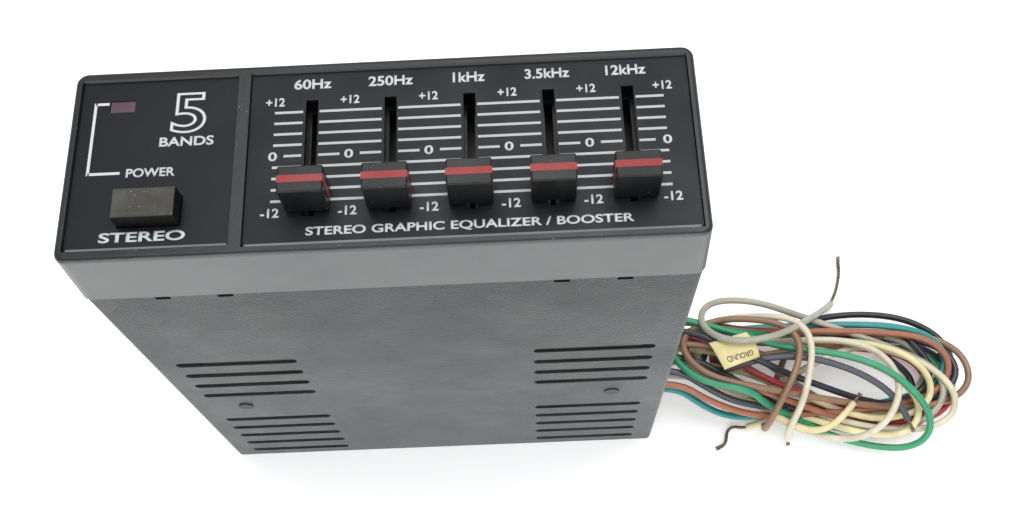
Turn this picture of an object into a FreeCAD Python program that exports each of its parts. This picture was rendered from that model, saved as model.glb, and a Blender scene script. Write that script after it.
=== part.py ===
import FreeCAD, Part
import math
import os
import re
import Sketcher
from FreeCAD import Placement, Rotation, Vector

# Five band graphic equalizer with a power booster, for mounting under a dashboard.
# The unit stands on the rear edges of its case, as it does with its leads laid beside it.
# +X is right along the front panel, +Y is the top cover, +Z points out of the front panel.
# The origin is the centre of the rear edges. All sizes are in millimetres.

doc = FreeCAD.newDocument("GraphicEqualizer")
dims = doc.addObject("Spreadsheet::Sheet", "Dims")

DRIVING = {
    # case and bezel
    "front_width": 150.0,
    "front_height": 51.0,
    "unit_depth": 165.0,
    "bezel_depth": 19.4,
    "bezel_draft": 2.6,
    "case_width": 150.6,
    "case_height": 51.4,
    "sheet_gauge": 1.0,
    "bend_radius": 1.6,
    "corner_radius": 3.0,
    "front_edge_radius": 1.2,
    "skirt_length": 5.0,
    "skirt_screw_setback": 2.6,
    "cavity_width": 145.0,
    "cavity_height": 45.8,
    "front_wall": 3.5,
    # the two printed fields of the front
    "recess_depth": 2.0,
    "fascia_gauge": 1.0,
    "fascia_gap": 0.15,
    "power_field_middle": -54.05,
    "power_field_width": 38.3,
    "power_field_height": 46.2,
    "slider_field_middle": 20.6,
    "slider_field_width": 105.2,
    "slider_field_height": 46.9,
    # sliders
    "slider_first": -17.1,
    "slider_pitch": 18.87,
    "slider_middle": 0.2,
    "slider_travel": 24.0,
    "slot_width": 2.9,
    "slot_length": 31.3,
    "knob_width": 10.3,
    "knob_height": 6.7,
    "knob_reach": 9.3,
    "knob_gap": 1.0,
    "index_height": 1.8,
    "index_depth": 0.8,
    "lever_width": 1.2,
    "lever_height": 4.0,
    "fader_width": 8.0,
    "fader_height": 37.0,
    "fader_depth": 8.5,
    "fader_wall": 0.8,
    # power button and lamp
    "button_across": -53.95,
    "button_up": -12.95,
    "button_width": 14.5,
    "button_height": 7.5,
    "button_proud": 5.0,
    "lamp_across": -63.1,
    "lamp_up": 16.0,
    "lamp_width": 5.9,
    "lamp_height": 3.0,
    # boards
    "board_gauge": 1.6,
    "control_board_back": 148.4,
    "amplifier_board_top": -17.2,
    # vents and fixings of the bottom cover
    "vent_middle": 51.0,
    "vent_length": 34.6,
    "vent_width": 3.2,
    "vent_pitch": 9.15,
    "vent_front_group": 68.1,
    "vent_rear_group": 6.2,
    "board_screw_across": 58.0,
    "board_screw_along": 57.0,
    "notch_inner": 41.1,
    "notch_outer": 56.5,
    "notch_width": 3.8,
    "notch_depth": 3.0,
    # harness
    "lead_diameter": 2.4,
    "lead_row_pitch": 5.0,
    "grommet_along": 19.0,
    "grommet_length": 34.0,
    "grommet_height": 10.0,
    "grommet_flange": 2.5,
    "hank_start": 82.0,
    "hank_length": 108.0,
    "hank_width": 58.0,
    "hank_height": 19.0,
    "tag_length": 16.0,
    "tag_width": 8.0,
    "tag_thickness": 1.4,
}

for row, (alias, number) in enumerate(DRIVING.items(), start=1):
    dims.set(f"A{row}", str(number))
    dims.setAlias(f"A{row}", alias)
doc.recompute()

# Places that several pieces share, as formulas of the sheet's words.
CASE_FRONT = "(unit_depth - bezel_depth)"
CASE_BOTTOM = "(case_height / 2)"
FASCIA_BACK = "(unit_depth - recess_depth)"
FASCIA_FACE = "(unit_depth - recess_depth + fascia_gauge)"
CONTROL_FRONT = "(control_board_back + board_gauge)"
INNER_WIDTH = "(case_width - 2 * sheet_gauge)"
LID_UNDERSIDE = "(case_height / 2 - sheet_gauge)"

BANDS = ("60hz", "250hz", "1khz", "3k5hz", "12khz")
ALONG = {
    "X": Rotation(Vector(0, 1, 0), 90),
    "Y": Rotation(Vector(1, 0, 0), -90),
    "Z": Rotation(),
}

nodes = []


# ---------------------------------------------------------------- helpers


def formula(text):
    """A formula of sheet words as an expression of the document."""
    return re.sub(r"[a-z][a-z_]*", lambda word: "Dims." + word.group(), str(text))


def value(text):
    """The number that a formula of sheet words gives."""
    return float(dims.evalExpression(formula(text)))


def bind(thing, **formulas):
    """Bind properties of a document object to formulas of the sheet."""
    for name, text in formulas.items():
        thing.setExpression(name, formula(text))


def place(thing, across, up, along):
    """Bind the place of an object; its rotation stays as it is."""
    thing.setExpression("Placement.Base.x", formula(across))
    thing.setExpression("Placement.Base.y", formula(up))
    thing.setExpression("Placement.Base.z", formula(along))


def node(label, thing):
    """Name a finished sub-part; its label is the name of its file."""
    thing.Label = label
    nodes.append(thing)
    return thing


def block(name, across, up, along, wide, tall, deep):
    """A box centred across and up, which starts at a depth."""
    solid = doc.addObject("Part::Box", name)
    bind(solid, Length=wide, Width=tall, Height=deep)
    place(solid, f"({across}) - ({wide}) / 2", f"({up}) - ({tall}) / 2", along)
    return solid


def rod(name, across, up, along, radius, length, axis="Z"):
    """A cylinder from a point along an axis."""
    solid = doc.addObject("Part::Cylinder", name)
    bind(solid, Radius=radius, Height=length)
    solid.Placement = Placement(Vector(), ALONG[axis])
    place(solid, across, up, along)
    return solid


def fused(name, solids):
    """Touching solids made into one."""
    result = doc.addObject("Part::MultiFuse", name)
    result.Shapes = solids
    return result


def grouped(name, solids):
    """Separate solids that are one sub-part, such as a set of screws."""
    result = doc.addObject("Part::Compound", name)
    result.Links = solids
    return result


def minus(name, base, tools):
    """A solid with tools cut out of it."""
    result = doc.addObject("Part::Cut", name)
    result.Base = base
    result.Tool = tools[0] if len(tools) == 1 else fused(name + "_tools", tools)
    return result


def new_body(name):
    return doc.addObject("PartDesign::Body", name)


def origin_feature(body, role):
    """An origin plane or axis of a body, found by its role."""
    return next(item for item in body.Origin.OriginFeatures if item.Role == role)


def sketch_on(body, name, role, right=0, up=0, out=0):
    """A sketch on an origin plane, moved right, up and out along the plane's own directions."""
    sketch = body.newObject("Sketcher::SketchObject", name)
    sketch.AttachmentSupport = (origin_feature(body, role), [""])
    sketch.MapMode = "FlatFace"
    sketch.setExpression("AttachmentOffset.Base.x", formula(right))
    sketch.setExpression("AttachmentOffset.Base.y", formula(up))
    sketch.setExpression("AttachmentOffset.Base.z", formula(out))
    return sketch


def datum(sketch, kind, text, *where):
    """A sketch dimension bound to a formula."""
    index = sketch.addConstraint(Sketcher.Constraint(kind, *where, value(text)))
    sketch.setExpression(f"Constraints[{index}]", formula(text))


def pin(sketch, shape, point, right, up):
    """Hold a point of the sketch at a place; a zero puts it on the axis."""
    if value(right) == 0:
        sketch.addConstraint(Sketcher.Constraint("PointOnObject", shape, point, -2))
    else:
        datum(sketch, "DistanceX", right, -1, 1, shape, point)
    if value(up) == 0:
        sketch.addConstraint(Sketcher.Constraint("PointOnObject", shape, point, -1))
    else:
        datum(sketch, "DistanceY", up, -1, 1, shape, point)


def rectangle(sketch, right, up, wide, tall):
    """A rectangle centred at a place in the sketch."""
    x, y, half_x, half_y = value(right), value(up), value(wide) / 2, value(tall) / 2
    corners = [
        Vector(x - half_x, y - half_y, 0),
        Vector(x + half_x, y - half_y, 0),
        Vector(x + half_x, y + half_y, 0),
        Vector(x - half_x, y + half_y, 0),
    ]
    first = sketch.GeometryCount
    for index in range(4):
        sketch.addGeometry(Part.LineSegment(corners[index], corners[(index + 1) % 4]), False)
    for index in range(4):
        following = first + (index + 1) % 4
        sketch.addConstraint(Sketcher.Constraint("Coincident", first + index, 2, following, 1))
        direction = "Horizontal" if index % 2 == 0 else "Vertical"
        sketch.addConstraint(Sketcher.Constraint(direction, first + index))
    pin(sketch, first, 1, f"({right}) - ({wide}) / 2", f"({up}) - ({tall}) / 2")
    datum(sketch, "DistanceX", wide, first, 1, first, 2)
    datum(sketch, "DistanceY", tall, first + 1, 1, first + 1, 2)


def stadium(sketch, right, up, length, width):
    """A slot with round ends, long to the right, centred at a place in the sketch."""
    x, y, radius = value(right), value(up), value(width) / 2
    half = value(length) / 2 - radius
    first = sketch.GeometryCount
    ends = (Vector(x - half, y, 0), Vector(x + half, y, 0))
    drop = Vector(0, radius, 0)
    quarter = math.pi / 2
    circles = [Part.Circle(end, Vector(0, 0, 1), radius) for end in ends]
    sketch.addGeometry(Part.LineSegment(ends[0] - drop, ends[1] - drop), False)
    sketch.addGeometry(Part.ArcOfCircle(circles[1], -quarter, quarter), False)
    sketch.addGeometry(Part.LineSegment(ends[1] + drop, ends[0] + drop), False)
    sketch.addGeometry(Part.ArcOfCircle(circles[0], quarter, 3 * quarter), False)
    for index in range(4):
        following = first + (index + 1) % 4
        sketch.addConstraint(Sketcher.Constraint("Tangent", first + index, 2, following, 1))
    sketch.addConstraint(Sketcher.Constraint("Horizontal", first))
    sketch.addConstraint(Sketcher.Constraint("Horizontal", first + 2))
    datum(sketch, "Radius", f"({width}) / 2", first + 1)
    straight = f"(({length}) - ({width}))"
    pin(sketch, first + 3, 3, f"({right}) - {straight} / 2", up)
    datum(sketch, "DistanceX", straight, first + 3, 3, first + 1, 3)


def circle(sketch, right, up, radius):
    """A circle at a place in the sketch."""
    centre = Vector(value(right), value(up), 0)
    index = sketch.addGeometry(Part.Circle(centre, Vector(0, 0, 1), value(radius)), False)
    pin(sketch, index, 3, right, up)
    datum(sketch, "Radius", radius, index)


def pad(body, sketch, length, **settings):
    """Material added along the sketch's normal."""
    feature = body.newObject("PartDesign::Pad", sketch.Name + "_pad")
    feature.Profile = sketch
    bind(feature, Length=length)
    for name, setting in settings.items():
        setattr(feature, name, setting)
    doc.recompute()
    return feature


def pocket(body, sketch, length, **settings):
    """Material cut against the sketch's normal; it must take something away."""
    before = body.Shape.Volume
    feature = body.newObject("PartDesign::Pocket", sketch.Name + "_pocket")
    feature.Profile = sketch
    bind(feature, Length=length)
    for name, setting in settings.items():
        setattr(feature, name, setting)
    doc.recompute()
    if not body.Shape.Volume < before - 0.01:
        raise RuntimeError(f"{sketch.Name} cuts nothing")
    return feature


def repeated(body, feature, axis, pitch, count):
    """A row of a feature along an origin axis of the body."""
    pattern = body.newObject("PartDesign::LinearPattern", feature.Name + "_row")
    pattern.Originals = [feature]
    pattern.Direction = (origin_feature(body, axis), [""])
    pattern.Mode = "Spacing"
    bind(pattern, Offset=pitch)
    pattern.Occurrences = count
    body.Tip = pattern
    doc.recompute()
    return pattern


def rounded(body, radius, wanted):
    """A fillet on the edges of the body that a test picks."""
    base = body.Tip
    names = [f"Edge{i}" for i, edge in enumerate(base.Shape.Edges, start=1) if wanted(edge)]
    feature = body.newObject("PartDesign::Fillet", body.Name + "_fillet")
    feature.Base = (base, names)
    bind(feature, Radius=radius)
    doc.recompute()
    return feature


def runs_along(edge, axis):
    """Whether an edge's ends lie within a few degrees of an axis from each other."""
    if len(edge.Vertexes) < 2:
        return False
    chord = edge.Vertexes[-1].Point - edge.Vertexes[0].Point
    return abs(chord.normalize().dot(axis)) > 0.99


def lies_at(edge, depth):
    """Whether all of an edge is at one depth."""
    box = edge.BoundBox
    return abs(box.ZMin - depth) < 0.01 and abs(box.ZMax - depth) < 0.01


# ---------------------------------------------------------------- front


def front_bezel():
    """Moulded frame: tapered sides, two recessed fields, windows behind them, skirt and bosses."""
    body = new_body("Bezel")
    outline = sketch_on(body, "bezel_outline", "XY_Plane", out="unit_depth")
    rectangle(outline, 0, 0, "front_width", "front_height")
    shell = pad(body, outline, "bezel_depth", Reversed=True)
    bind(shell, TaperAngle="bezel_draft")
    doc.recompute()
    rounded(body, "corner_radius", lambda edge: runs_along(edge, Vector(0, 0, 1)))
    front = value("unit_depth")
    rounded(body, "front_edge_radius", lambda edge: lies_at(edge, front))

    skirt = sketch_on(body, "bezel_skirt", "XY_Plane", out=CASE_FRONT)
    rectangle(skirt, 0, 0, INNER_WIDTH + " - 0.4", "case_height - 2 * sheet_gauge - 0.4")
    pad(body, skirt, "skirt_length", Reversed=True)

    cavity = sketch_on(body, "bezel_cavity", "XY_Plane", out="unit_depth - front_wall")
    rectangle(cavity, 0, 0, "cavity_width", "cavity_height")
    pocket(body, cavity, "bezel_depth + skirt_length")

    fields = sketch_on(body, "bezel_fields", "XY_Plane", out="unit_depth")
    rectangle(fields, "power_field_middle", 0.1, "power_field_width", "power_field_height")
    rectangle(fields, "slider_field_middle", -0.1, "slider_field_width", "slider_field_height")
    pocket(body, fields, "recess_depth")

    windows = sketch_on(body, "bezel_windows", "XY_Plane", out=FASCIA_BACK)
    rectangle(windows, "slider_field_middle", 0, "slider_field_width - 13", 36)
    rectangle(windows, "button_across", "button_up", "button_width + 2.5", "button_height + 2.5")
    rectangle(windows, "lamp_across", "lamp_up", "lamp_width + 1.2", "lamp_height + 1.2")
    pocket(body, windows, "front_wall")

    bosses = sketch_on(body, "bezel_bosses", "XY_Plane", out=CONTROL_FRONT)
    for right in (-69.3, 69.3):
        for up in (-19, 19):
            circle(bosses, right, up, 2.5)
    pad(body, bosses, f"unit_depth - front_wall - {CONTROL_FRONT}")

    holes = sketch_on(body, "bezel_boss_holes", "XY_Plane", out=f"{CONTROL_FRONT} + 7")
    for right in (-69.3, 69.3):
        for up in (-19, 19):
            circle(holes, right, up, 1.1)
    pocket(body, holes, 7)

    top_holes = sketch_on(body, "bezel_top_holes", "XZ_Plane", out="-22")
    for right in (-60, 60):
        circle(top_holes, right, f"{CASE_FRONT} - skirt_screw_setback", 1.0)
    pocket(body, top_holes, 6)
    return node("front_bezel", body)


def fascia(label, middle, lift, wide, tall):
    """A printed plate that lies in a field of the bezel."""
    body = new_body(label + "_body")
    plate = sketch_on(body, label + "_plate", "XY_Plane", out=FASCIA_BACK)
    rectangle(plate, middle, lift, f"{wide} - 2 * fascia_gap", f"{tall} - 2 * fascia_gap")
    pad(body, plate, "fascia_gauge")
    return body


def power_fascia():
    """Left plate with the lamp window and the button hole."""
    body = fascia("power_fascia", "power_field_middle", 0.1, "power_field_width", "power_field_height")
    holes = sketch_on(body, "power_fascia_holes", "XY_Plane", out=FASCIA_FACE)
    rectangle(holes, "lamp_across", "lamp_up", "lamp_width + 0.2", "lamp_height + 0.2")
    rectangle(holes, "button_across", "button_up", "button_width + 0.5", "button_height + 0.5")
    pocket(body, holes, "fascia_gauge")
    return node("power_fascia", body)


def equalizer_fascia():
    """Right plate with a row of slider slots."""
    body = fascia(
        "equalizer_fascia", "slider_field_middle", -0.1, "slider_field_width", "slider_field_height"
    )
    slot = sketch_on(body, "fascia_slot", "XY_Plane", out=FASCIA_FACE)
    rectangle(slot, "slider_first", "slider_middle - 0.45", "slot_width", "slot_length")
    first = pocket(body, slot, "fascia_gauge")
    repeated(body, first, "X_Axis", "slider_pitch", len(BANDS))
    return node("equalizer_fascia", body)


def slider_knob(band, across, rest):
    """Black cap with a groove round its front and sides, and a socket for the lever."""
    body = new_body("Knob_" + band)
    base = f"{FASCIA_FACE} + knob_gap"
    outline = sketch_on(body, f"knob_{band}_outline", "XY_Plane", right=across, up=rest, out=base)
    rectangle(outline, 0, 0, "knob_width", "knob_height")
    pad(body, outline, "knob_reach")
    face = value(f"{base} + knob_reach")
    rounded(body, 0.45, lambda edge: lies_at(edge, face) or runs_along(edge, Vector(0, 0, 1)))

    groove = sketch_on(body, f"knob_{band}_groove", "XZ_Plane", right=across, up=base, out=f"-({rest})")
    side = "(knob_width - index_depth) / 2"
    rectangle(groove, f"-{side}", "knob_reach / 2", "index_depth", "knob_reach")
    rectangle(groove, side, "knob_reach / 2", "index_depth", "knob_reach")
    pocket(body, groove, "index_height", Midplane=True)
    front = sketch_on(body, f"knob_{band}_front", "XZ_Plane", right=across, up=base, out=f"-({rest})")
    rectangle(front, 0, "knob_reach - index_depth / 2", "knob_width", "index_depth")
    pocket(body, front, "index_height", Midplane=True)

    socket = sketch_on(body, f"knob_{band}_socket", "XY_Plane", right=across, up=rest, out=base)
    rectangle(socket, 0, 0, "lever_width", "lever_height")
    pocket(body, socket, 6, Reversed=True)
    return node("knob_" + band, body)


def slider_index(band, across, rest):
    """Red stripe set in the knob: a band over its front and down both sides."""
    base = f"{FASCIA_FACE} + knob_gap"
    outer = block(
        f"Index_{band}", across, rest, base, "knob_width + 0.1", "index_height", "knob_reach + 0.05"
    )
    inner = block(
        f"Index_{band}_inner",
        across,
        rest,
        base,
        "knob_width - 2 * index_depth",
        "index_height + 1",
        "knob_reach - index_depth",
    )
    return node("index_" + band, minus(f"Index_{band}_band", outer, [inner]))


def slider_lever(band, across, rest):
    """Metal tongue that the knob is pressed on, with the carriage that runs in the case."""
    foot = f"{CONTROL_FRONT} + 2"
    reach = f"{FASCIA_FACE} + 7 - ({foot})"
    tongue = block(f"Tongue_{band}", across, rest, foot, "lever_width", "lever_height", reach)
    carriage = block(f"Carriage_{band}", across, rest, foot, "fader_width - 2.4", 6, 3.6)
    return node("lever_" + band, fused(f"Lever_{band}", [tongue, carriage]))


def fader_case(band, across):
    """Sheet metal case of the slide potentiometer, open along a slot in its front."""
    wall = "fader_wall"
    outer = block(
        f"Fader_{band}", across, "slider_middle", CONTROL_FRONT, "fader_width", "fader_height", "fader_depth"
    )
    inner = block(
        f"Fader_{band}_inside",
        across,
        "slider_middle",
        f"{CONTROL_FRONT} + {wall}",
        f"fader_width - 2 * {wall}",
        f"fader_height - 2 * {wall}",
        f"fader_depth - 2 * {wall}",
    )
    slot = block(
        f"Fader_{band}_slot",
        across,
        "slider_middle",
        f"{CONTROL_FRONT} + fader_depth / 2",
        "lever_width + 0.8",
        "slider_travel + lever_height + 2",
        "fader_depth",
    )
    return node("fader_" + band, minus(f"Fader_{band}_case", outer, [inner, slot]))


def power_switch_and_button():
    """Push switch on the control board, and the cap whose lip holds it behind the fascia."""
    case = block("Switch", "button_across", "button_up", CONTROL_FRONT, 11, 8, 7.5)
    well = block("Switch_well", "button_across", "button_up", f"{CONTROL_FRONT} + 1", 4, 4, 7)
    node("power_switch", minus("Switch_case", case, [well]))

    body = new_body("Button")
    lip_back = f"{FASCIA_BACK} - 1.6"
    lip = sketch_on(body, "button_lip", "XY_Plane", "button_across", "button_up", lip_back)
    rectangle(lip, 0, 0, "button_width + 1.4", "button_height + 1.4")
    pad(body, lip, 1.3)
    cap = sketch_on(body, "button_cap", "XY_Plane", "button_across", "button_up", lip_back)
    rectangle(cap, 0, 0, "button_width", "button_height")
    pad(body, cap, f"{FASCIA_FACE} + button_proud - ({lip_back})")
    face = value(f"{FASCIA_FACE} + button_proud")
    rounded(body, 0.5, lambda edge: lies_at(edge, face))
    stem = sketch_on(body, "button_stem", "XY_Plane", "button_across", "button_up", lip_back)
    rectangle(stem, 0, 0, 3.4, 3.4)
    pad(body, stem, f"{lip_back} - ({CONTROL_FRONT} + 4.5)", Reversed=True)
    return node("power_button", body)


def power_lamp():
    """Rectangular lamp, flush with the fascia, on two legs."""
    lens_back = f"{FASCIA_FACE} - 7"
    lens = block("Lamp", "lamp_across", "lamp_up", lens_back, "lamp_width", "lamp_height", 6.8)
    legs = []
    for side, shift in (("left", -1.3), ("right", 1.3)):
        across = f"lamp_across + {shift}"
        length = f"{lens_back} - {CONTROL_FRONT}"
        legs.append(block(f"Lamp_leg_{side}", across, "lamp_up", CONTROL_FRONT, 0.5, 0.5, length))
    node("power_lamp", lens)
    return node("lamp_legs", grouped("Lamp_legs", legs))


def control_board():
    """Board behind the front, with holes for the four screws."""
    body = new_body("ControlBoard")
    outline = sketch_on(body, "control_board_outline", "XY_Plane", out="control_board_back")
    rectangle(outline, 0, 0, 143.6, 43)
    pad(body, outline, "board_gauge")
    holes = sketch_on(body, "control_board_holes", "XY_Plane", out=CONTROL_FRONT)
    for right in (-69.3, 69.3):
        for up in (-19, 19):
            circle(holes, right, up, 1.3)
    pocket(body, holes, "board_gauge")
    return node("control_board", body)


# ---------------------------------------------------------------- case


def bottom_cover():
    """Steel tray: vented bottom with two side walls, open at both ends."""
    body = new_body("BottomCover")
    tray_height = "(case_height - sheet_gauge)"
    outline = sketch_on(body, "tray_outline", "XY_Plane", up="-sheet_gauge / 2")
    rectangle(outline, 0, 0, "case_width", tray_height)
    pad(body, outline, CASE_FRONT)
    low = -value(CASE_BOTTOM)
    rounded(
        body,
        "bend_radius",
        lambda edge: runs_along(edge, Vector(0, 0, 1)) and edge.BoundBox.YMax < low + 0.01,
    )
    inside = sketch_on(body, "tray_inside", "XY_Plane", up="sheet_gauge / 2", out=CASE_FRONT)
    rectangle(inside, 0, 0, INNER_WIDTH, tray_height)
    pocket(body, inside, CASE_FRONT)

    for group, start, count in (("front", "vent_front_group", 4), ("rear", "vent_rear_group", 5)):
        vents = sketch_on(body, f"vents_{group}", "XZ_Plane", out=CASE_BOTTOM)
        stadium(vents, "-vent_middle", start, "vent_length", "vent_width")
        stadium(vents, "vent_middle", start, "vent_length", "vent_width")
        first = pocket(body, vents, "2 * sheet_gauge")
        repeated(body, first, "Z_Axis", "vent_pitch", count)

    fixings = sketch_on(body, "tray_fixings", "XZ_Plane", out=CASE_BOTTOM)
    for side in (-1, 1):
        circle(fixings, f"{side} * board_screw_across", "board_screw_along", 1.6)
        for notch in ("notch_inner", "notch_outer"):
            rectangle(
                fixings, f"{side} * {notch}", f"{CASE_FRONT} - notch_depth / 2", "notch_width", "notch_depth"
            )
    pocket(body, fixings, "2 * sheet_gauge")

    wall_holes = sketch_on(body, "tray_wall_holes", "YZ_Plane", out="case_width / 2 + 1")
    for along in (60, 110):
        circle(wall_holes, 0, along, 2.0)
    for along in (42, 125):
        circle(wall_holes, 20.7, along, 1.2)
    pocket(body, wall_holes, "case_width + 2")

    outlet = sketch_on(body, "tray_outlet", "YZ_Plane", out="case_width / 2 + 1")
    stadium(outlet, 0, "grommet_along", "grommet_length", "grommet_height")
    pocket(body, outlet, 4)
    return node("bottom_cover", body)


def top_cover():
    """Steel lid with flanges that go inside the walls of the tray."""
    body = new_body("TopCover")
    flange_drop = 8
    outline = sketch_on(body, "lid_outline", "XY_Plane", up=f"{LID_UNDERSIDE} + sheet_gauge / 2")
    rectangle(outline, 0, 0, "case_width", "sheet_gauge")
    pad(body, outline, CASE_FRONT)
    rounded(
        body,
        0.8,
        lambda edge: runs_along(edge, Vector(0, 0, 1)) and edge.BoundBox.YMin > value(LID_UNDERSIDE) + 0.5,
    )
    flanges = sketch_on(body, "lid_flanges", "XY_Plane", up=f"{LID_UNDERSIDE} - {flange_drop} / 2", out=30)
    for side in (-1, 1):
        rectangle(
            flanges, f"{side} * ({INNER_WIDTH} / 2 - 0.1 - sheet_gauge / 2)", 0, "sheet_gauge", flange_drop
        )
    pad(body, flanges, f"{CASE_FRONT} - skirt_length - 1 - 30")

    wall_holes = sketch_on(body, "lid_wall_holes", "YZ_Plane", out="case_width / 2 + 1")
    for along in (42, 125):
        circle(wall_holes, 20.7, along, 1.0)
    pocket(body, wall_holes, "case_width + 2")

    top_holes = sketch_on(body, "lid_top_holes", "XZ_Plane", out=f"-({LID_UNDERSIDE} - 1)")
    for right in (-60, 60):
        circle(top_holes, right, f"{CASE_FRONT} - skirt_screw_setback", 1.2)
    for right in (-49.5, 49.5):
        circle(top_holes, right, 9.5, 1.2)
    pocket(body, top_holes, 3)
    return node("top_cover", body)


def rear_heat_sink():
    """Extruded heat sink in the rear opening: a plate with a row of fins."""
    body = new_body("HeatSink")
    plate = sketch_on(body, "heat_sink_plate", "XY_Plane", out=7)
    rectangle(plate, 0, 0, f"{INNER_WIDTH} - 0.6", "case_height - 2 * sheet_gauge - 0.2")
    pad(body, plate, 5)
    fin = sketch_on(body, "heat_sink_fin", "XY_Plane", right=-66, out=7)
    rectangle(fin, 0, 0, 1.8, "case_height - 2 * sheet_gauge - 1")
    first = pad(body, fin, 6.4, Reversed=True)
    repeated(body, first, "X_Axis", 11, 13)
    holes = sketch_on(body, "heat_sink_holes", "XZ_Plane", out=f"-({LID_UNDERSIDE} - 7)")
    for right in (-49.5, 49.5):
        circle(holes, right, 9.5, 1.0)
    pocket(body, holes, 8)
    return node("rear_heat_sink", body)


def pan_screw(name, across, up, along, axis, outward, radius, length, head_radius, head_height=1.3):
    """A screw whose head stands on a face, with its shank going the other way from it."""
    shank_shift = -length if outward > 0 else 0
    head_shift = 0 if outward > 0 else -head_height
    shank_start = [across, up, along]
    head_start = [across, up, along]
    index = "XYZ".index(axis)
    shank_start[index] = f"{shank_start[index]} + {shank_shift}"
    head_start[index] = f"{head_start[index]} + {head_shift}"
    shank = rod(name + "_shank", *shank_start, radius, length, axis)
    head = rod(name + "_head", *head_start, head_radius, head_height, axis)
    return fused(name, [shank, head])


def cover_screws():
    """Self-tapping screws of the lid: two in each wall, two into the skirt, two into the heat sink."""
    screws = []
    for along in (42, 125):
        screws.append(pan_screw(f"Left_{along}", "-case_width / 2", 20.7, along, "X", -1, 1.0, 5, 2.2))
        screws.append(pan_screw(f"Right_{along}", "case_width / 2", 20.7, along, "X", 1, 1.0, 5, 2.2))
    front_row = f"{CASE_FRONT} - skirt_screw_setback"
    for side, right in (("left", -60), ("right", 60)):
        screws.append(pan_screw(f"Front_{side}", right, CASE_BOTTOM, front_row, "Y", 1, 1.0, 2.6, 2.4))
    for side, right in (("left", -49.5), ("right", 49.5)):
        screws.append(pan_screw(f"Rear_{side}", right, CASE_BOTTOM, 9.5, "Y", 1, 1.0, 6, 2.4))
    return node("cover_screws", grouped("Cover_screws", screws))


def bracket_nuts():
    """Weld nuts behind the side walls, for the screws of the mounting bracket."""
    nuts = []
    for side, name in ((-1, "left"), (1, "right")):
        for along in (60, 110):
            start = f"{side} * ({INNER_WIDTH} / 2 - 1.6) - 1.6"
            nut = rod(f"Nut_{name}_{along}", start, 0, along, 4.0, 3.2, "X")
            hole = rod(f"Nut_hole_{name}_{along}", f"{start} - 1", 0, along, 2.0, 6, "X")
            nuts.append(minus(f"Weld_nut_{name}_{along}", nut, [hole]))
    return node("bracket_nuts", grouped("Bracket_nuts", nuts))


# ---------------------------------------------------------------- inside


def amplifier_board():
    """Board that lies over the bottom of the tray."""
    body = new_body("AmplifierBoard")
    outline = sketch_on(body, "amplifier_board_outline", "XZ_Plane", up=75, out="-amplifier_board_top")
    rectangle(outline, 0, 0, 132, 122)
    pad(body, outline, "board_gauge")
    holes = sketch_on(body, "amplifier_board_holes", "XZ_Plane", out="-amplifier_board_top + board_gauge")
    for side in (-1, 1):
        circle(holes, f"{side} * board_screw_across", "board_screw_along", 1.6)
    pocket(body, holes, "board_gauge")
    return node("amplifier_board", body)


def board_fixings():
    """Spacers that hold the board off the tray, and the screws whose heads show underneath."""
    spacers = []
    screws = []
    gap = f"(amplifier_board_top - board_gauge + {CASE_BOTTOM} - sheet_gauge)"
    low = f"sheet_gauge - {CASE_BOTTOM}"
    for side, name in ((-1, "left"), (1, "right")):
        across = f"{side} * board_screw_across"
        tube = rod(f"Spacer_{name}", across, low, "board_screw_along", 3.0, gap, "Y")
        bore = rod(f"Bore_{name}", across, f"{low} - 1", "board_screw_along", 1.6, 10, "Y")
        spacers.append(minus(f"Tube_{name}", tube, [bore]))
        start = (across, f"-{CASE_BOTTOM}", "board_screw_along")
        screws.append(pan_screw(f"Board_{name}", *start, "Y", -1, 1.5, 10, 2.3, head_height=0.5))
    for right in (-69.3, 69.3):
        for up in (-19, 19):
            name = f"Control_{'left' if right < 0 else 'right'}_{'low' if up < 0 else 'high'}"
            screws.append(pan_screw(name, right, up, "control_board_back", "Z", -1, 1.0, 6, 2.2))
    node("board_spacers", grouped("Board_spacers", spacers))
    return node("board_screws", grouped("Board_screws", screws))


def board_link():
    """Flat link from the control board to the amplifier board."""
    shelf = block("Link_shelf", 0, "amplifier_board_top + 3.2", 132.2, 24, 0.8, "control_board_back - 132.2")
    drop = block("Link_drop", 0, "amplifier_board_top + 1.4", 132.2, 24, 2.8, 0.8)
    return node("board_link", fused("Board_link", [shelf, drop]))


def amplifier_parts():
    """Power amplifiers against the heat sink, capacitors, a choke and the lead terminals."""
    top = "amplifier_board_top"
    chips = [
        block(f"Amplifier_{side}", across, f"{top} + 8", 12, 20, 16, 4.2)
        for side, across in (("left", -32), ("right", 20))
    ]
    node("power_amplifiers", grouped("Power_amplifiers", chips))
    cans = []
    places = (
        (-50, 38, 6.3, 20),
        (-32, 40, 5, 16),
        (-16, 38, 5, 16),
        (20, 44, 4, 12),
        (38, 60, 4, 12),
        (-6, 70, 3, 9),
        (10, 96, 3, 9),
        (34, 104, 3, 9),
    )
    for index, (across, along, radius, tall) in enumerate(places):
        cans.append(rod(f"Can_{index}", across, top, along, radius, tall, "Y"))
    node("capacitors", grouped("Capacitors", cans))
    ring = doc.addObject("Part::Torus", "Choke")
    bind(ring, Radius1=9, Radius2=3.6)
    ring.Placement = Placement(Vector(), ALONG["Y"])
    place(ring, -38, f"{top} + 3.6", 88)
    node("choke", ring)
    terminals = block("Terminals", 61, f"{top} + 16.6", 14.1, 9, 33.2, 10.4)
    return node("terminal_strip", terminals)


# ---------------------------------------------------------------- harness


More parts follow.
